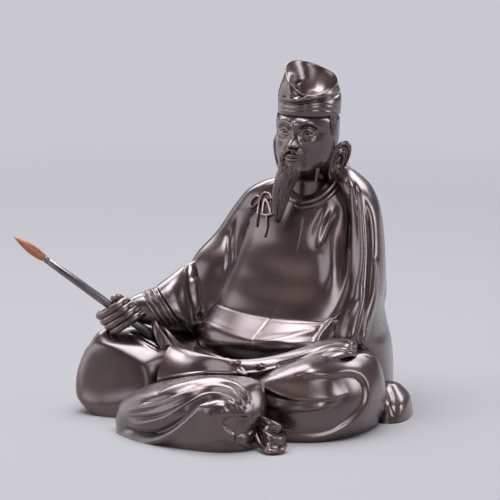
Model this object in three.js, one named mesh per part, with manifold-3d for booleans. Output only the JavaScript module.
// Seated court poet with a writing brush: a hollow bronze figurine cast in sections, pinned together.
// Millimetres, +Z up. The figure sits on the ground plane and faces -Y; +X is the figure's own left.
import * as THREE from "three";
import { mergeVertices } from "three/addons/utils/BufferGeometryUtils.js";
import Module from "manifold-3d";

const wasm = await Module();
wasm.setup();

// Driving dimensions
const wall = 4; // thickness of the hollow castings
const seamGap = 0.3; // clearance between castings that touch
const pinDiameter = 4;
const pinLength = 16;
const brushDiameter = 5.6; // shaft, from its tail to the fist
const brushNeck = 4.2; // shaft, at the foot of the hair
const brushLength = 83; // shaft, from its tail to the foot of the hair
const brushTaper = 43; // the shaft narrows over this length below the hair
const hairLength = 24;
const hairDiameter = 6;
const hairTenonDiameter = 2;
const hairTenonLength = 5;
const brushTail = [-64.6, -73, 47.9]; // where the shaft's lower end stops above the lap
const brushAim = [-0.751, -0.327, 0.572]; // from the tail towards the hair
const gripStation = 25.4; // the fist's middle, measured along the shaft from its tail
const fingerDiameter = 5.6;
const fingerPitch = 4.1; // from one knuckle to the next, along the shaft
const wristDiameter = 12;
const wristAim = [0.475, 0.877, -0.03]; // from the fist towards the elbow
const knuckleAim = [0.493, -0.856, 0.157]; // from the shaft towards the backs of the fingers
const seatBack = 59; // back of the robe on the ground, behind the figure's axis
const bellyReach = 74; // front of the blouse, ahead of the axis
const brimLevel = 184; // lower edge of the cap
const capHeight = 31.6; // the crown's highest point above the brim
const skullHalf = 19; // half the width of the head at the brow
const headCentre = [0.5, 7];
const headYaw = 6; // degrees, towards the figure's left
const headRoll = 2; // degrees, left ear down
const neckLevel = 140; // the head turns about the neck here
const earRoot = 16; // from the middle of the head to where an ear leaves it
const earReach = 26; // from the middle of the head to the edge of an ear
const collarTube = { thick: 3.2, tall: 6 };
const skirtThickness = 3.4;
const pleatThickness = 2.4;
const cordDiameter = 1.8;
const sashDiameter = 5;

// Rows and columns of facets
const facets = {
  core: { rows: 6, columns: 12 },
  jacket: { rows: 7, columns: 14 },
  skull: { rows: 19, columns: 19 },
  hollowHead: { rows: 6, columns: 10 },
  ear: { rows: 5, columns: 8 },
  cap: { rows: 6, columns: 24 },
  tunic: { rows: 20, columns: 32 },
  rightLeg: { rows: 10, columns: 24 },
  leftLeg: { rows: 12, columns: 30 },
  rightShin: { rows: 11, columns: 28 },
  leftSleeve: { rows: 14, columns: 16 },
  rightSleeve: { rows: 14, columns: 18 },
  skirt: { rows: 12, columns: 12 },
  pleat: { rows: 4, columns: 8 },
  looseCloth: { rows: 5, columns: 14 },
  beard: { rows: 7, columns: 10 },
};

// The drapery is drawn on two sheets of 500 by 500 units, as it is seen from in front of the left knee and
// from behind.
const drawing = {
  azimuth: 30,
  elevation: 9,
  distance: 1500, // from the eye to the figure's axis
  unit: 0.64, // one unit of the sheet, at that distance
  axisX: 300, // where the axis meets the ground on the sheet
  axisY: 400,
  middle: 250,
};
const backDrawing = { ...drawing, azimuth: 205, elevation: 10, axisX: 250 };

const bronze = { color: 0x3a2b28, roughness: 0.35, metalness: 1 };
const copper = { color: 0xc98a62, roughness: 0.35, metalness: 1 };

// Small vector helpers
const vec = (p) => new THREE.Vector3(...p);
const clamp = THREE.MathUtils.clamp;
const degrees = THREE.MathUtils.degToRad;

// Uniform Catmull-Rom value through equally spaced numbers, at t from 0 to 1.
function spline(values, t) {
  const last = values.length - 1;
  const i = Math.min(Math.floor(t * last), last - 1);
  const f = t * last - i;
  const [a, b, c, d] = [-1, 0, 1, 2].map((k) => values[clamp(i + k, 0, last)]);
  return b + 0.5 * f * (c - a + f * (2 * a - 5 * b + 4 * c - d + f * (3 * (b - c) + d - a)));
}

const splineAll = (lists, t) => lists[0].map((_, axis) => spline(lists.map((list) => list[axis]), t));

// Sections: each is a level ring with a centre and two half axes, in plan; slope lifts its back edge
function bodySection({ z, front, back, left, right, slope = 0 }) {
  return {
    centre: [(left - right) / 2, (back - front) / 2, z],
    along: [0, -(front + back) / 2],
    across: [(left + right) / 2, 0],
    slope: [0, slope],
  };
}

function slabSection({ z, root, tip, half, rise = 0 }) {
  const along = [(tip[0] - root[0]) / 2, (tip[1] - root[1]) / 2];
  const length = Math.hypot(...along);
  return {
    centre: [(tip[0] + root[0]) / 2, (tip[1] + root[1]) / 2, z],
    along,
    across: [(-along[1] / length) * half, (along[0] / length) * half],
    slope: [(along[0] / length) * rise, (along[1] / length) * rise],
  };
}

// A copy of a section drawn in by a margin all round; a negative margin makes it larger.
function insetSection(section, margin, drop) {
  const leastShare = 0.1;
  const shorter = (axis) => {
    const length = Math.hypot(...axis);
    const kept = Math.max(length - margin, length * leastShare);
    return axis.map((v) => (v * kept) / length);
  };
  const [x, y, z] = section.centre;
  const centre = [x, y, z - drop];
  return { ...section, centre, along: shorter(section.along), across: shorter(section.across) };
}

// A skin is a stack of rings of points, closed by a fan at each end.
function loftSkin(sections, { rows, columns }, squareness = 2.3) {
  const points = [];
  const power = 2 / squareness;
  const rounded = (v) => Math.sign(v) * Math.abs(v) ** power;
  for (let i = 0; i <= rows; i++) {
    const t = i / rows;
    const centre = splineAll(sections.map((s) => s.centre), t);
    const along = splineAll(sections.map((s) => s.along), t);
    const across = splineAll(sections.map((s) => s.across), t);
    const slope = splineAll(sections.map((s) => s.slope), t);
    for (let j = 0; j < columns; j++) {
      const angle = (2 * Math.PI * j) / columns;
      const a = rounded(Math.cos(angle));
      const b = rounded(Math.sin(angle));
      const dx = along[0] * a + across[0] * b;
      const dy = along[1] * a + across[1] * b;
      points.push(vec([centre[0] + dx, centre[1] + dy, centre[2] + slope[0] * dx + slope[1] * dy]));
    }
  }
  return { points, rows, columns };
}

// A round bar along a smooth curve, with a diameter at each of its points and rounded ends.
function sweepSkin(path, diameters, steps, sides, flatten = 1) {
  const curve = new THREE.CatmullRomCurve3(path.map(vec));
  const frames = curve.computeFrenetFrames(steps, false);
  const points = [];
  const ring = (i, radius, shift) => {
    const centre = curve.getPointAt(i / steps).addScaledVector(frames.tangents[i], shift);
    for (let j = 0; j < sides; j++) {
      const angle = (2 * Math.PI * j) / sides;
      const side = frames.normals[i].clone().multiplyScalar(Math.cos(angle) * radius);
      side.addScaledVector(frames.binormals[i], Math.sin(angle) * radius * flatten);
      points.push(centre.clone().add(side));
    }
  };
  const radiusAt = (i) => spline(diameters, i / steps) / 2;
  const endReach = 0.55;
  const endShrink = 0.6;
  ring(0, radiusAt(0) * endShrink, -radiusAt(0) * endReach);
  for (let i = 0; i <= steps; i++) ring(i, radiusAt(i), 0);
  ring(steps, radiusAt(steps) * endShrink, radiusAt(steps) * endReach);
  return { points, rows: steps + 2, columns: sides };
}

function skinNormals({ points, rows, columns }) {
  const at = (i, j) => points[clamp(i, 0, rows) * columns + ((j + columns) % columns)];
  return points.map((_, k) => {
    const i = Math.floor(k / columns);
    const j = k % columns;
    const around = at(i, j + 1).clone().sub(at(i, j - 1));
    const upward = at(i + 1, j).clone().sub(at(i - 1, j));
    return around.cross(upward).normalize();
  });
}

// The middle of one ring of a skin.
function ringMiddle({ points, columns }, row) {
  const sum = new THREE.Vector3();
  for (let j = 0; j < columns; j++) sum.add(points[row * columns + j]);
  return sum.divideScalar(columns);
}

// Moves every point along its normal, and the two end rings outwards as well.
function offsetSkin(skin, amount) {
  const normals = skinNormals(skin);
  const last = skin.rows;
  const endWay = (row, inside) => ringMiddle(skin, row).sub(ringMiddle(skin, inside)).normalize();
  const ends = { 0: endWay(0, 1), [last]: endWay(last, last - 1) };
  const move = (p, k) => {
    const moved = p.clone().addScaledVector(normals[k], amount);
    const end = ends[Math.floor(k / skin.columns)];
    return end ? moved.addScaledVector(end, amount) : moved;
  };
  return { ...skin, points: skin.points.map(move) };
}

// The eye and the axes of a drawing sheet
function sightOf(sheet) {
  const azimuth = degrees(sheet.azimuth);
  const elevation = degrees(sheet.elevation);
  const ahead = vec([-Math.sin(azimuth), Math.cos(azimuth), 0]);
  const forward = ahead.clone().multiplyScalar(Math.cos(elevation));
  forward.z = -Math.sin(elevation);
  const right = vec([Math.cos(azimuth), Math.sin(azimuth), 0]);
  const up = right.clone().cross(forward);
  const eye = forward.clone().multiplyScalar(-sheet.distance);
  eye.addScaledVector(right, -(sheet.axisX - sheet.middle) * sheet.unit);
  eye.addScaledVector(up, (sheet.axisY - sheet.middle) * sheet.unit);
  return { forward, right, up, eye, focal: sheet.distance / sheet.unit };
}
const frontSight = sightOf(drawing);
const backSight = sightOf(backDrawing);

function drawn(point, sight) {
  const v = point.clone().sub(sight.eye);
  const scale = sight.focal / v.dot(sight.forward);
  return [drawing.middle + v.dot(sight.right) * scale, drawing.middle - v.dot(sight.up) * scale];
}

// A fold is a smooth line on the drawing with a height (a groove where negative) and a width, in millimetres.
function foldLine(points, height, width) {
  const steps = 4 * (points.length - 1);
  const line = [];
  for (let i = 0; i <= steps; i++) line.push(splineAll(points, i / steps));
  return { line, height, width };
}

// Distance on the sheet from a drawn point to a line, and how far along it the nearest place is.
function nearestOnLine(line, [x, y]) {
  let best = { distance: Infinity, share: 0 };
  for (let i = 0; i < line.length - 1; i++) {
    const [ax, ay] = line[i];
    const [bx, by] = line[i + 1];
    const length2 = (bx - ax) ** 2 + (by - ay) ** 2;
    const t = clamp(((x - ax) * (bx - ax) + (y - ay) * (by - ay)) / length2, 0, 1);
    const distance = Math.hypot(x - ax - t * (bx - ax), y - ay - t * (by - ay));
    if (distance < best.distance) best = { distance, share: (i + t) / (line.length - 1) };
  }
  return best;
}

// Presses folds into a skin along its normals, where it faces the sheet; each fold fades at its ends.
function pressFolds(skin, folds, sight) {
  const normals = skinNormals(skin);
  const endFade = 0.12;
  const leastFade = 0.2;
  const edgeOn = 0.3;
  return {
    ...skin,
    points: skin.points.map((p, k) => {
      const toEye = sight.eye.clone().sub(p).normalize();
      const facing = clamp(normals[k].dot(toEye) / edgeOn, 0, 1);
      if (facing === 0) return p;
      const at = drawn(p, sight);
      let lift = 0;
      for (const { line, height, width } of folds) {
        const { distance, share } = nearestOnLine(line, at);
        const fade = clamp(Math.min(share, 1 - share) / endFade, leastFade, 1);
        lift += height * fade * Math.exp(-(((distance * drawing.unit) / width) ** 2));
      }
      const moved = p.clone().addScaledVector(normals[k], lift * facing);
      moved.z = p.z === 0 ? 0 : Math.max(moved.z, 0);
      return moved;
    }),
  };
}

// Solids
function solidFrom(geometry) {
  const bare = geometry.index ? geometry.toNonIndexed() : geometry.clone();
  for (const name of Object.keys(bare.attributes)) if (name !== "position") bare.deleteAttribute(name);
  const merged = mergeVertices(bare, 1e-4);
  const vertProperties = new Float32Array(merged.attributes.position.array);
  const triVerts = new Uint32Array(merged.index.array);
  return new wasm.Manifold(new wasm.Mesh({ numProp: 3, vertProperties, triVerts }));
}

function skinGeometry({ points, rows, columns }) {
  const positions = [];
  const push = (...corners) => corners.forEach((p) => positions.push(p.x, p.y, p.z));
  const at = (i, j) => points[i * columns + (j % columns)];
  const bottom = ringMiddle({ points, columns }, 0);
  const top = ringMiddle({ points, columns }, rows);
  for (let j = 0; j < columns; j++) {
    push(bottom, at(0, j + 1), at(0, j));
    push(top, at(rows, j), at(rows, j + 1));
    for (let i = 0; i < rows; i++) {
      push(at(i, j), at(i, j + 1), at(i + 1, j + 1));
      push(at(i, j), at(i + 1, j + 1), at(i + 1, j));
    }
  }
  const geometry = new THREE.BufferGeometry();
  return geometry.setAttribute("position", new THREE.Float32BufferAttribute(positions, 3));
}

const skinSolid = (skin) => solidFrom(skinGeometry(skin));

function unionOf(solids) {
  return solids.reduce((whole, next) => whole.add(next));
}

function meshGeometry(solid) {
  const { vertProperties, triVerts, numProp } = solid.getMesh();
  const geometry = new THREE.BufferGeometry();
  const positions = [];
  for (let i = 0; i < vertProperties.length; i += numProp) positions.push(...vertProperties.slice(i, i + 3));
  geometry.setAttribute("position", new THREE.Float32BufferAttribute(positions, 3));
  geometry.setIndex([...triVerts]);
  return geometry;
}

// A cut can leave crumbs behind; the casting is its largest body.
function mainBody(solid) {
  const bodies = solid.decompose();
  return bodies.reduce((best, body) => (body.volume() > best.volume() ? body : best));
}

// Pieces, in the order in which they keep their shape: each one is cut back from all those before it
const pieces = [];

function addPiece(name, material, solid, envelope, jacket = null) {
  let body = solid;
  for (const earlier of pieces) body = body.subtract(earlier.envelope);
  pieces.push({ name, material, body: mainBody(body), envelope, jacket });
}

function addSkins(name, material, skins) {
  const envelope = unionOf(skins.map((skin) => skinSolid(offsetSkin(skin, seamGap))));
  addPiece(name, material, unionOf(skins.map(skinSolid)), envelope);
}

// The core of a hollow casting, opened downwards; it stays a wall's thickness off earlier castings.
function coreOf(sections, bend) {
  const last = sections.length - 1;
  const below = 2;
  const drop = (i) => (i === 0 ? below : (wall * i) / last);
  const inner = sections.map((section, i) => insetSection(section, wall, drop(i)));
  let core = skinSolid(bend(loftSkin(inner, facets.core)));
  for (const { jacket } of pieces) if (jacket) core = core.subtract(jacket);
  const opening = sections[0].centre[2];
  return core.decompose().filter((body) => body.boundingBox().min[2] < opening);
}

function jacketOf(sections, bend) {
  const last = sections.length - 1;
  const margin = wall + seamGap;
  const outer = sections.map((section, i) => insetSection(section, -margin, margin * (1 - (2 * i) / last)));
  return skinSolid(bend(loftSkin(outer, facets.jacket)));
}

// A hollow casting: front and back are its folds, and bend reshapes its skins.
function addShell(name, sections, size, { front = [], back = [], bend = (skin) => skin }) {
  const bare = bend(loftSkin(sections, size));
  const skin = pressFolds(pressFolds(bare, front, frontSight), back, backSight);
  let body = skinSolid(skin);
  for (const core of coreOf(sections, bend)) body = body.subtract(core);
  addPiece(name, bronze, body, skinSolid(offsetSkin(skin, seamGap)), jacketOf(sections, bend));
}

// Pins through the walls where castings meet
function addPin(name, at, direction) {
  const axis = vec(direction).normalize();
  const build = (extra) => {
    const radius = pinDiameter / 2 + extra;
    const geometry = new THREE.CylinderGeometry(radius, radius, pinLength + 2 * extra, 12);
    geometry.applyQuaternion(new THREE.Quaternion().setFromUnitVectors(vec([0, 1, 0]), axis));
    return solidFrom(geometry.translate(...at));
  };
  addPiece(name, bronze, build(0), build(seamGap));
}

addPin("neck_pin", [3, 26, neckLevel - 2], [0, 1, 0]);
addPin("right_shoulder_pin", [-34, -1, 100], [-0.75, -0.66, 0]);
addPin("left_shoulder_pin", [38, 14, 100], [1, 0, 0]);
addPin("right_leg_pin", [-38, -30, 18], [-0.62, -0.78, 0]);
addPin("left_leg_pin", [26, -39, 18], [0.2, -0.98, 0]);
addPin("shin_pin", [25, -106, 12], [0, -1, 0]);

// Brush
const aim = vec(brushAim).normalize();
const alongBrush = (distance) => vec(brushTail).addScaledVector(aim, distance);

function lathed(profile, sides, station) {
  const geometry = new THREE.LatheGeometry(profile.map(([r, y]) => new THREE.Vector2(r, y)), sides);
  geometry.applyQuaternion(new THREE.Quaternion().setFromUnitVectors(vec([0, 1, 0]), aim));
  return solidFrom(geometry.translate(...alongBrush(station)));
}

function addBrush() {
  const sides = 10;
  const shaft = (extra) => {
    const r = brushDiameter / 2 + extra;
    const neck = brushNeck / 2 + extra;
    const socket = hairTenonDiameter / 2 + seamGap;
    const depth = brushLength - hairTenonLength - seamGap;
    const end = brushLength + extra;
    const outside = [[0, -extra], [r, -extra], [r, brushLength - brushTaper], [neck, end]];
    return lathed([...outside, [socket, end], [socket, depth], [0, depth]], sides, 0);
  };
  const hair = (extra) => {
    const tenon = hairTenonDiameter / 2 + extra;
    const foot = -hairTenonLength - extra;
    const profile = [[0, foot], [tenon, foot], [tenon, seamGap - extra]];
    const steps = 6;
    const footPhase = 0.25; // of a half wave, where the hair leaves the shaft
    for (let i = 0; i <= steps; i++) {
      const t = i / steps;
      const swell = (hairDiameter / 2) * Math.sin(Math.PI * (footPhase + (1 - footPhase) * t));
      profile.push([i === steps ? 0 : swell + extra, seamGap - extra + t * (hairLength + extra)]);
    }
    return lathed(profile, sides, brushLength);
  };
  addPiece("brush_shaft", bronze, shaft(0), shaft(seamGap));
  addPiece("brush_tip", copper, hair(0), hair(seamGap));
}
addBrush();

// Head, with its neck let down into the collar and a step at the brow for the cap
function posed(skin) {
  const angles = new THREE.Euler(0, degrees(headRoll), degrees(headYaw), "ZYX");
  const turn = new THREE.Quaternion().setFromEuler(angles);
  const pivot = vec([...headCentre, neckLevel]);
  return { ...skin, points: skin.points.map((p) => p.clone().sub(pivot).applyQuaternion(turn).add(pivot)) };
}

const headSquareness = 2.15;

function headSection({ z, front, back, half }) {
  return bodySection({ z, front, back, left: headCentre[0] + half, right: half - headCentre[0] });
}

// Heights on the head are shares of the way from the neck to the brim.
const faceLevel = (share) => neckLevel + share * (brimLevel - neckLevel);

const headLevels = [
  { z: neckLevel - 21, front: -2, back: 22, half: 11 },
  { z: neckLevel - 8, front: 0, back: 24, half: 13 },
  { z: faceLevel(0.07), front: 2, back: 24, half: 13 },
  { z: faceLevel(0.18), front: 15, back: 25, half: 14 },
  { z: faceLevel(0.3), front: 17.5, back: 26, half: 16 },
  { z: faceLevel(0.46), front: 17.5, back: 27, half: 18 },
  { z: faceLevel(0.64), front: 16.5, back: 28, half: skullHalf },
  { z: faceLevel(0.82), front: 16, back: 28.5, half: skullHalf },
  { z: faceLevel(0.955), front: 15, back: 28, half: skullHalf - 0.5 },
  { z: faceLevel(1.045), front: 9, back: 23, half: skullHalf - 5 },
  { z: faceLevel(1.1), front: 6, back: 20, half: skullHalf - 8 },
  { z: faceLevel(1.135), front: -2, back: 12, half: skullHalf - 14 },
].map(headSection);

function headSkins() {
  const skull = loftSkin(headLevels, facets.skull, headSquareness);
  const features = [
    { x: 0, z: faceLevel(0.59), height: 4.4, wide: 2.6, tall: 4.4 }, // nose
    { x: 0, z: faceLevel(0.73), height: 2.2, wide: 2.4, tall: 6 }, // bridge
    { x: -7.2, z: faceLevel(0.715), height: -2, wide: 4, tall: 3 }, // eye sockets
    { x: 7.2, z: faceLevel(0.715), height: -2, wide: 4, tall: 3 },
    { x: 0, z: faceLevel(0.4), height: 1.4, wide: 5.5, tall: 2.6 }, // lips
    { x: 0, z: faceLevel(0.24), height: 1.6, wide: 5, tall: 3 }, // chin
  ];
  skull.points = skull.points.map((p) => {
    if (p.y > headCentre[1]) return p;
    const moved = p.clone();
    for (const f of features) {
      const near = ((p.x - headCentre[0] - f.x) / f.wide) ** 2 + ((p.z - f.z) / f.tall) ** 2;
      moved.y -= f.height * Math.exp(-near);
    }
    return moved;
  });
  const ear = (side) => {
    const root = headCentre[0] + side * earRoot;
    const edge = (share) => headCentre[0] + side * (earRoot + (earReach - earRoot) * share);
    const levels = [
      { z: faceLevel(0.09), root: [root, 7], tip: [edge(0.35), 8], half: 1.6 },
      { z: faceLevel(0.2), root: [root, 5], tip: [edge(0.6), 9], half: 2.4 },
      { z: faceLevel(0.36), root: [root, 5], tip: [edge(0.9), 13], half: 2.2 },
      { z: faceLevel(0.52), root: [root, 5], tip: [edge(1), 14], half: 2.2 },
      { z: faceLevel(0.64), root: [root, 6], tip: [edge(0.8), 11], half: 1.4 },
    ];
    return loftSkin(levels.map(slabSection), facets.ear);
  };
  return [skull, ear(-1), ear(1)].map(posed);
}

function addHead() {
  const skins = headSkins();
  const inner = headLevels.map((section, i) => insetSection(section, wall, i === 0 ? wall : 0)).slice(0, -2);
  const hollow = skinSolid(posed(loftSkin(inner, facets.hollowHead)));
  const envelope = unionOf(skins.map((skin) => skinSolid(offsetSkin(skin, seamGap))));
  addPiece("head", bronze, unionOf(skins.map(skinSolid)).subtract(hollow), envelope);
}
addHead();

// Right hand: four fingers and a thumb closed round the brush, on a palm and wrist. Places in the fist are
// measured from its middle: across the shaft, out towards the backs of the fingers, and along the shaft.
const grip = alongBrush(gripStation);
const outWay = vec(knuckleAim).projectOnPlane(aim).normalize();
const acrossWay = aim.clone().cross(outWay);

function inFist([across, out, along]) {
  const p = grip.clone().addScaledVector(acrossWay, across);
  return p.addScaledVector(outWay, out).addScaledVector(aim, along).toArray();
}

const fingerJoints = [
  { at: [7.5, 1.4, 0], droop: 0, share: 1.2 },
  { at: [4, 5.6, 1.8], droop: 0.3, share: 1.12 },
  { at: [-2.5, 7.2, 4.6], droop: 0.7, share: 1 },
  { at: [-8.2, 4.6, 7.4], droop: 1, share: 1.05 },
  { at: [-9.6, -0.6, 8.6], droop: 1, share: 0.94 },
  { at: [-6.4, -4.8, 8.6], droop: 1, share: 0.8 },
];
const fingers = [
  { droop: 2.6, share: 0.86 }, // little finger
  { droop: 1.6, share: 0.97 },
  { droop: 0.6, share: 1 },
  { droop: -0.6, share: 0.98 },
];
const thumb = [
  { at: [4.4, -6.5, 1.5], share: 1.2 },
  { at: [6.2, -3, 4.5], share: 1.1 },
  { at: [6, 2, 6.6], share: 1 },
  { at: [5.1, 4.2, 7.8], share: 0.85 },
];
const palm = [
  { at: [6.2, -2.5, -13], share: 1.4 },
  { at: [7.2, -2, -9], share: 1.7 },
  { at: [7.4, -2.2, -4.5], share: 1.7 },
  { at: [6.6, -3, 0], share: 1.4 },
];

function handSkins() {
  const bar = (path, share, steps, sides) => {
    const diameters = path.map((joint) => fingerDiameter * joint.share * share);
    return sweepSkin(path.map(({ at }) => inFist(at)), diameters, steps, sides);
  };
  const indexKnuckle = 0.4;
  const skins = fingers.map((finger, i) => {
    const knuckle = indexKnuckle - fingerPitch * (fingers.length - 1 - i);
    const path = fingerJoints.map(({ at: [across, out, along], droop, share }) => ({
      at: [across - droop * finger.droop, out, knuckle + along],
      share,
    }));
    return bar(path, finger.share, 8, 6);
  });
  const wristFoot = vec(inFist([5, 0, -6]));
  const wristWay = vec(wristAim).normalize();
  const wristPath = [0, 13, 26].map((reach) => wristFoot.clone().addScaledVector(wristWay, reach).toArray());
  const wrist = sweepSkin(wristPath, wristPath.map(() => wristDiameter), 3, 8);
  return [...skins, bar(thumb, 1, 6, 6), bar(palm, 1, 4, 8), wrist];
}
addSkins("right_hand", bronze, handSkins());

// Inner sleeve: the narrower layer that holds the wrist, inside the mouth of the wide sleeve
const innerSleeve = [
  { at: [-79.5, -73.5, 62.4], diameter: 16.5 },
  { at: [-75, -68.5, 62.4], diameter: 20 },
  { at: [-69.3, -62.6, 61.9], diameter: 26 },
  { at: [-64.3, -54, 61.4], diameter: 30.5 },
  { at: [-59.5, -42, 60.1], diameter: 34 },
];
// Its hem hangs in two pleats down to the thigh.
const hemPleats = [
  {
    back: [[-67.9, -71.1, 58], [-61.6, -76.6, 50], [-55.2, -78.6, 41.5]],
    front: [[-63, -70.7, 56.5], [-55.3, -73.7, 49.5], [-49.3, -72.9, 43]],
  },
  {
    back: [[-62.6, -67.4, 54.9], [-54.8, -72.2, 49.3], [-47.8, -72.9, 42.5]],
    front: [[-58.1, -62.8, 50.8], [-46.8, -72.1, 45], [-39.7, -71.9, 40]],
  },
];
addSkins("inner_sleeve", bronze, [
  sweepSkin(innerSleeve.map(({ at }) => at), innerSleeve.map(({ diameter }) => diameter), 7, 14),
  ...hemPleats.map((edges) => panelSkin(edges, facets.pleat, pleatThickness, 0.6)),
]);

// Court cap: a band round the brow and a soft crown, whose slanting top is pressed in to a dish
const crown = {
  front: 14.5,
  back: 28.5,
  // round the crown from the back of the head over its left side: the rim's height and its lean inwards
  rim: [0.9, 0.98, 1, 0.9, 0.62, 0.4, 0.46, 0.61, 0.76],
  share: [0.84, 0.82, 0.78, 0.8, 0.9, 0.96, 0.93, 0.9, 0.86],
  dish: [7.5, 0.5], // where the dish is lowest
  dishLevel: 0.36, // its height there, as a share of the crown's
  sag: 2.2,
  leanFrom: 0.35, // share of the height at which the wall starts to lean inwards
};

// Uniform Catmull-Rom value through equally spaced numbers on a circle, at t from 0 to 1.
function roundSpline(values, t) {
  const count = values.length;
  const i = Math.floor(t * count);
  const f = t * count - i;
  const [a, b, c, d] = [-1, 0, 1, 2].map((k) => values[(i + k + count) % count]);
  return b + 0.5 * f * (c - a + f * (2 * a - 5 * b + 4 * c - d + f * (3 * (b - c) + d - a)));
}

// Rings climb the wall to the rim, then run down the dish to its lowest point.
function capSkin() {
  const { rows, columns } = facets.cap;
  const power = 2 / headSquareness;
  const rounded = (v) => Math.sign(v) * Math.abs(v) ** power;
  const eased = (v) => v * v * (3 - 2 * v);
  const lowest = vec([...crown.dish, brimLevel + crown.dishLevel * capHeight]);
  const depth = (crown.front + crown.back) / 2;
  const middleY = (crown.back - crown.front) / 2;
  const wallAt = (j, t) => {
    const angle = (2 * Math.PI * j) / columns;
    const place = (j / columns + 0.5) % 1;
    const lean = eased(clamp((t - crown.leanFrom) / (1 - crown.leanFrom), 0, 1));
    const belly = 1 - (1 - roundSpline(crown.share, place)) * lean;
    const x = headCentre[0] + rounded(Math.sin(angle)) * skullHalf * belly;
    const y = middleY - rounded(Math.cos(angle)) * depth * belly;
    return vec([x, y, brimLevel + roundSpline(crown.rim, place) * capHeight * t]);
  };
  const dishAt = (j, v) => {
    const p = wallAt(j, 1).lerp(lowest, v);
    p.z -= crown.sag * Math.sin(Math.PI * v);
    return p;
  };
  const points = [];
  for (let i = 0; i <= 2 * rows - 1; i++) {
    for (let j = 0; j < columns; j++) {
      points.push(i <= rows ? wallAt(j, i / rows) : dishAt(j, (i - rows) / rows));
    }
  }
  return posed({ points, rows: 2 * rows - 1, columns });
}
addSkins("cap", bronze, [capSkin()]);

// Tunic: a hollow body with a round collar, flaring to a blouse that hangs over the sash
const tunicLevels = [
  { z: 0, front: 40, back: seatBack, left: 53, right: 54 },
  { z: 20, front: 46, back: seatBack - 1, left: 54, right: 55 },
  { z: 32, front: 60, back: seatBack - 2, left: 54, right: 55 },
  { z: 41, front: bellyReach - 3.5, back: seatBack - 3, left: 54, right: 55 },
  { z: 47.5, front: bellyReach, back: seatBack - 3, left: 53, right: 55 },
  { z: 50.5, front: bellyReach - 2, back: seatBack - 4, left: 53, right: 54 },
  { z: 55, front: bellyReach - 13, back: seatBack - 5, left: 51, right: 53 },
  { z: 60, front: 49, back: seatBack - 6, left: 50, right: 51 },
  { z: 65, front: 40, back: seatBack - 7, left: 49, right: 50 },
  { z: 74, front: 30.5, back: seatBack - 8, left: 48, right: 47 },
  { z: 90, front: 18, back: 47, left: 45, right: 43, slope: 0.1 },
  { z: 108, front: 9, back: 43, left: 42, right: 38, slope: 0.3 },
  { z: 126, front: 5, back: 37, left: 36, right: 32, slope: 0.6 },
  { z: neckLevel - 4, front: 5, back: 30, left: 27, right: 21, slope: 0.85 },
  { z: neckLevel + 1, front: 4, back: 27, left: 22, right: 16, slope: 0.9 },
];
const tunicFolds = [
  foldLine([[336, 195], [333, 219], [332, 239], [333, 258], [337, 289]], 4.5, 6),
  foldLine([[347, 178], [350, 219], [348, 253], [345, 272]], -3, 4),
  foldLine([[259, 227], [236, 267], [214, 305], [195, 337]], -1.6, 4),
];
const backFolds = [
  foldLine([[252, 182], [258, 230], [250, 290], [262, 350]], 2.4, 6),
  foldLine([[238, 180], [240, 230], [228, 290], [232, 356]], -2.2, 5),
  foldLine([[268, 182], [276, 240], [270, 300], [284, 360]], -2.2, 5),
  foldLine([[225, 186], [218, 240], [205, 300], [200, 350]], 2.2, 5.5),
  foldLine([[284, 190], [296, 250], [300, 310], [312, 360]], 2.2, 5.5),
];
addShell("tunic", tunicLevels.map(bodySection), facets.tunic, { front: tunicFolds, back: backFolds });

// Collar: a rolled rim standing round the neck, low in front and high behind
const collar = { centre: [3, 11.5, neckLevel + 1.5], wide: 18, deep: 16, lean: 0.9 };

function collarGeometry(extra) {
  const rings = 18;
  const sides = 6;
  const upright = vec([0, -collar.lean, 1]).normalize();
  const points = [];
  for (let i = 0; i < rings; i++) {
    const a = (2 * Math.PI * i) / rings;
    const lift = collar.lean * Math.sin(a);
    const outward = vec([Math.cos(a), Math.sin(a), lift]).normalize();
    const middle = vec(collar.centre);
    middle.add(vec([collar.wide * Math.cos(a), collar.deep * Math.sin(a), collar.deep * lift]));
    for (let j = 0; j < sides; j++) {
      const s = (2 * Math.PI * j) / sides;
      const p = middle.clone().addScaledVector(outward, Math.cos(s) * (collarTube.thick / 2 + extra));
      points.push(p.addScaledVector(upright, Math.sin(s) * (collarTube.tall / 2 + extra)));
    }
  }
  const positions = [];
  const at = (i, j) => points[(i % rings) * sides + (j % sides)];
  const push = (...corners) => corners.forEach((p) => positions.push(p.x, p.y, p.z));
  for (let i = 0; i < rings; i++) {
    for (let j = 0; j < sides; j++) {
      push(at(i, j), at(i + 1, j), at(i + 1, j + 1));
      push(at(i, j), at(i + 1, j + 1), at(i, j + 1));
    }
  }
  const geometry = new THREE.BufferGeometry();
  return geometry.setAttribute("position", new THREE.Float32BufferAttribute(positions, 3));
}
addPiece("collar_rim", bronze, solidFrom(collarGeometry(0)), solidFrom(collarGeometry(seamGap)));

// Trouser legs: the right knee, the folded left leg and the right shin that lies in front of it
const rightLegLevels = [
  { z: 0, root: [-36, -24], tip: [-94, -99], half: 26 },
  { z: 10, root: [-36, -24], tip: [-99, -105], half: 29.5 },
  { z: 24, root: [-36, -24], tip: [-99, -105], half: 30 },
  { z: 36, root: [-38, -26], tip: [-97, -101], half: 25, rise: 0.02 },
  { z: 42, root: [-42, -30], tip: [-96, -97], half: 18 },
  { z: 46, root: [-54, -44], tip: [-96, -93], half: 11 },
  { z: 49.5, root: [-66, -57], tip: [-95, -89], half: 6.5 },
  { z: 51.5, root: [-76, -67], tip: [-92, -85], half: 2.5 },
];
addShell("right_leg", rightLegLevels.map(slabSection), facets.rightLeg, {});

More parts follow.
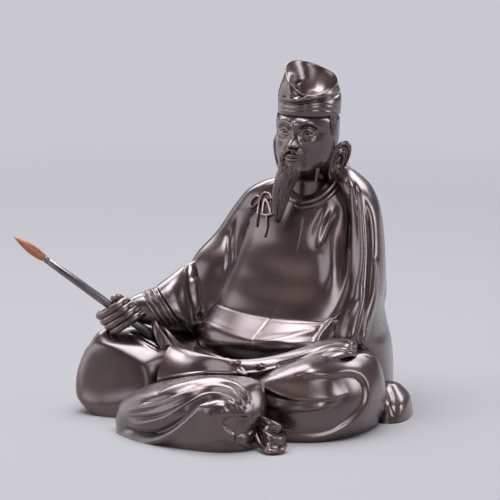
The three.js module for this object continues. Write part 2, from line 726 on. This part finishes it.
const leftLegLevels = [
  { z: 0, front: 103, back: -8, left: 76, right: 6 },
  { z: 10, front: 106, back: -6, left: 80, right: 8 },
  { z: 24, front: 104, back: -6, left: 80, right: 7 },
  { z: 36, front: 97, back: -8, left: 76, right: 4 },
  { z: 44, front: 88, back: -10, left: 70, right: 0 },
  { z: 49, front: 72, back: -20, left: 58, right: -10 },
  { z: 51, front: 56, back: -36, left: 44, right: -26 },
];
const leftLegFolds = [
  foldLine([[252, 382], [278, 393], [308, 398], [337, 395], [352, 390]], 2.2, 4),
  foldLine([[247, 400], [270, 412], [299, 416], [329, 411], [350, 403]], -2.2, 5),
  foldLine([[270, 430], [293, 436], [322, 437], [345, 427], [362, 410], [368, 390]], 2.8, 4.5),
  foldLine([[344, 377], [353, 377], [359, 381]], -3, 4.5),
];

// The shin's end of the folded leg lies lower than its knee.
const shinFall = { from: 64, over: 64, share: 0.36 };

function lowered(skin) {
  const lower = (p) => {
    const t = clamp((shinFall.from - p.x) / shinFall.over, 0, 1);
    return vec([p.x, p.y, p.z * (1 - shinFall.share * t * t * (3 - 2 * t))]);
  };
  return { ...skin, points: skin.points.map(lower) };
}
addShell("left_leg", leftLegLevels.map(bodySection), facets.leftLeg, { front: leftLegFolds, bend: lowered });

const rightShinLevels = [
  { z: 0, root: [-60, -111], tip: [40, -129], half: 28 },
  { z: 8, root: [-60, -111], tip: [41, -129], half: 29.5 },
  { z: 20, root: [-55, -110], tip: [41, -127], half: 28.5, rise: 0.03 },
  { z: 29, root: [-42, -108], tip: [38, -122], half: 24, rise: 0.06 },
  { z: 34, root: [-24, -107], tip: [33, -117], half: 16, rise: 0.08 },
  { z: 36, root: [-6, -107], tip: [22, -112], half: 7, rise: 0.08 },
];
const rightShinFolds = [
  foldLine([[112, 424], [129, 435], [150, 437], [173, 429], [192, 417], [210, 404]], 2.2, 4),
  foldLine([[120, 418], [137, 428], [160, 426], [184, 412], [200, 402]], -4, 5),
  foldLine([[131, 411], [157, 409], [184, 399], [208, 390], [227, 394], [238, 404]], 2, 4),
  foldLine([[206, 410], [217, 408], [230, 410]], 3, 7.5),
  foldLine([[228, 422], [238, 423], [249, 425]], -2.6, 4.5),
];
addShell("right_shin", rightShinLevels.map(slabSection), facets.rightShin, { front: rightShinFolds });

// Wide sleeves: the left one hangs to the ground, the right one reaches forward over the lap
const leftSleeveLevels = [
  { z: 0, root: [34, 36], tip: [57, -20], half: 14.5 },
  { z: 26, root: [33, 38], tip: [58, -26], half: 15.5 },
  { z: 42, root: [32, 39], tip: [59, -32], half: 15 },
  { z: 52, root: [31, 40], tip: [58, -44], half: 14.5 },
  { z: 64, root: [30, 40], tip: [57, -40], half: 13.5 },
  { z: 80, root: [28, 40], tip: [56, -27], half: 13 },
  { z: 104, root: [26, 39], tip: [51, -15], half: 12.5 },
  { z: 126, root: [25, 35], tip: [46, -8], half: 12 },
  { z: 140, root: [22, 33], tip: [38, -3], half: 11 },
  { z: 149, root: [18, 28], tip: [28, 5], half: 8 },
  { z: 152, root: [20, 22], tip: [25, 12], half: 3 },
];
const leftSleeveFolds = [
  foldLine([[341, 173], [357, 195], [362, 223], [364, 258], [356, 300]], 2.4, 4.5),
  foldLine([[362, 190], [369, 230], [369, 272], [367, 307], [358, 349]], -3, 4.5),
  foldLine([[374, 255], [375, 279], [373, 300], [361, 348]], 1.8, 4),
];
addShell("left_sleeve", leftSleeveLevels.map(slabSection), facets.leftSleeve, {
  front: leftSleeveFolds,
  back: backFolds,
});

// A thick sheet of cloth between two edges, its middle swollen upwards
function panelSkin({ back: backEdge, front: frontEdge }, { rows, columns }, thickness, swell) {
  const edgeRound = 0.5;
  const points = [];
  for (let i = 0; i <= rows; i++) {
    const back = vec(splineAll(backEdge, i / rows));
    const front = vec(splineAll(frontEdge, i / rows));
    for (let j = 0; j < columns; j++) {
      const angle = (2 * Math.PI * j) / columns;
      const t = (1 - Math.cos(angle)) / 2;
      const side = Math.sign(Math.sin(angle)) * Math.abs(Math.sin(angle)) ** edgeRound;
      const p = back.clone().lerp(front, t);
      p.z += swell * 4 * t * (1 - t) + (side * thickness) / 2;
      points.push(p);
    }
  }
  return { points, rows, columns };
}

const rightSleeveLevels = [
  { z: 43, root: [-36, -34], tip: [-47, -50], half: 5 },
  { z: 49, root: [-33, -26], tip: [-52, -53], half: 11 },
  { z: 58, root: [-30, -14], tip: [-56, -54], half: 13.5 },
  { z: 68, root: [-27, -4], tip: [-61, -54], half: 15 },
  { z: 80, root: [-26, 6], tip: [-66, -50], half: 15.5 },
  { z: 92, root: [-24, 12], tip: [-59, -37], half: 16 },
  { z: 106, root: [-20, 18], tip: [-51, -18], half: 15 },
  { z: 122, root: [-16, 24], tip: [-46, -6], half: 14 },
  { z: 137, root: [-12, 27], tip: [-39, 3], half: 12 },
  { z: 146, root: [-11, 27], tip: [-31, 8], half: 8 },
  { z: 150, root: [-14, 22], tip: [-22, 14], half: 3 },
];
const rightSleeveFolds = [
  foldLine([[190, 268], [192, 293], [198, 319]], -2.4, 4),
  foldLine([[196, 284], [198, 300], [202, 314]], 1.4, 3.5),
  foldLine([[240, 210], [234, 256], [228, 275]], -1.6, 4),
];
addShell("right_sleeve", rightSleeveLevels.map(slabSection), facets.rightSleeve, {
  front: rightSleeveFolds,
  back: backFolds,
});

// Front skirt: a thick panel over the lap, from the sash to a free front edge
const skirtEdges = {
  back: [
    [-44.3, -83, 44], [-23, -84.5, 42], [-3, -85, 40], [15, -74, 41],
    [35, -58, 47], [48, -46, 51], [61.5, -46.5, 52],
  ],
  front: [
    [-43, -103, 27], [-20, -98, 32], [2, -92.5, 34], [22, -84.5, 36.5],
    [45, -76, 41.5], [60, -72, 45.5], [71, -64, 48],
  ],
};
addSkins("front_skirt", bronze, [panelSkin(skirtEdges, facets.skirt, skirtThickness, 1.6)]);

// Sash under the blouse, tied in two small knots
function sashSkins() {
  const under = (x, inset, z) => [x, inset - bellyReach, z];
  const bandPath = [
    under(-40, 11, 40), under(-16.5, -1, 39), under(1, -4, 37), under(15.5, -3, 37), under(32, 10, 43),
  ];
  const band = sweepSkin(bandPath, bandPath.map(() => sashDiameter), 12, 8);
  const knotHalf = 5;
  const knotAt = [under(-2, -5.5, 39), under(15, -4.5, 39.5)];
  const knots = knotAt.map(([x, y, z]) => {
    const path = [[x - knotHalf, y, z - 1], [x, y - 2, z + 2], [x + knotHalf, y, z - 1]];
    return sweepSkin(path, [0.8, 1.2, 0.8].map((share) => sashDiameter * share), 6, 8);
  });
  return [band, ...knots];
}
addSkins("sash", bronze, sashSkins());

// Loose ends of cloth on the ground
const hemTailLevels = [
  { z: 0, root: [30, -112], tip: [62, -130], half: 9 },
  { z: 8, root: [32, -110], tip: [62, -128], half: 9 },
  { z: 14, root: [32, -108], tip: [54, -118], half: 5 },
  { z: 17, root: [36, -108], tip: [46, -113], half: 2 },
];
addSkins("hem_tail", bronze, [loftSkin(hemTailLevels.map(slabSection), facets.looseCloth)]);
const trainLevels = [
  { z: 0, root: [62, 16], tip: [78, -32], half: 12 },
  { z: 10, root: [62, 14], tip: [77, -29], half: 11 },
  { z: 16, root: [62, 10], tip: [72, -20], half: 7 },
  { z: 19, root: [64, 2], tip: [69, -10], half: 3 },
];
addSkins("robe_train", bronze, [loftSkin(trainLevels.map(slabSection), facets.looseCloth)]);

// Beard: a pointed lock from the chin down over the collar
const beardLevels = [
  { z: neckLevel - 24, front: 20, back: -17, left: -5, right: 8 },
  { z: neckLevel - 14, front: 22, back: -15, left: -1, right: 8.6 },
  { z: neckLevel - 4, front: 23, back: -12, left: 1.6, right: 9 },
  { z: neckLevel + 5, front: 23, back: -9, left: 5.4, right: 7.4 },
  { z: neckLevel + 11, front: 20, back: -8, left: 8, right: 5.5 },
];
addSkins("beard", bronze, [loftSkin(beardLevels.map(bodySection), facets.beard)]);

// Collar cord: a bow and two hanging ends on the cloth of the right shoulder, drawn from straight ahead
function seated([x, z]) {
  const carrier = pieces.find(({ name }) => name === "right_sleeve");
  const ahead = new THREE.Raycaster(vec([x, -drawing.distance, z]), vec([0, 1, 0]));
  const [hit] = ahead.intersectObject(new THREE.Mesh(meshGeometry(carrier.body)));
  const lift = cordDiameter / 2 + seamGap;
  return hit.point.addScaledVector(hit.face.normal, lift).toArray();
}

function cordSkins() {
  const runs = [
    [[-25.5, 128.5], [-29.5, 130], [-32, 126.5], [-30, 123.5], [-26.5, 127]], // loop
    [[-26, 128], [-27, 119], [-26.7, 112]], // outer end
    [[-25, 128], [-23, 118], [-22.5, 107]], // inner end
  ];
  return runs.map((run) => sweepSkin(run.map(seated), run.map(() => cordDiameter), 2 * run.length, 5));
}
addSkins("collar_cord", bronze, cordSkins());

// The finished figure, standing on the middle of its own footprint
const figure = new THREE.Group();
for (const { name, material, body } of pieces) {
  const mesh = new THREE.Mesh(meshGeometry(body), new THREE.MeshStandardMaterial(material));
  mesh.name = name;
  figure.add(mesh);
}
const extent = new THREE.Box3().setFromObject(figure);
const middle = extent.getCenter(new THREE.Vector3());
for (const mesh of figure.children) mesh.position.set(-middle.x, -middle.y, -extent.min.z);

export default figure;
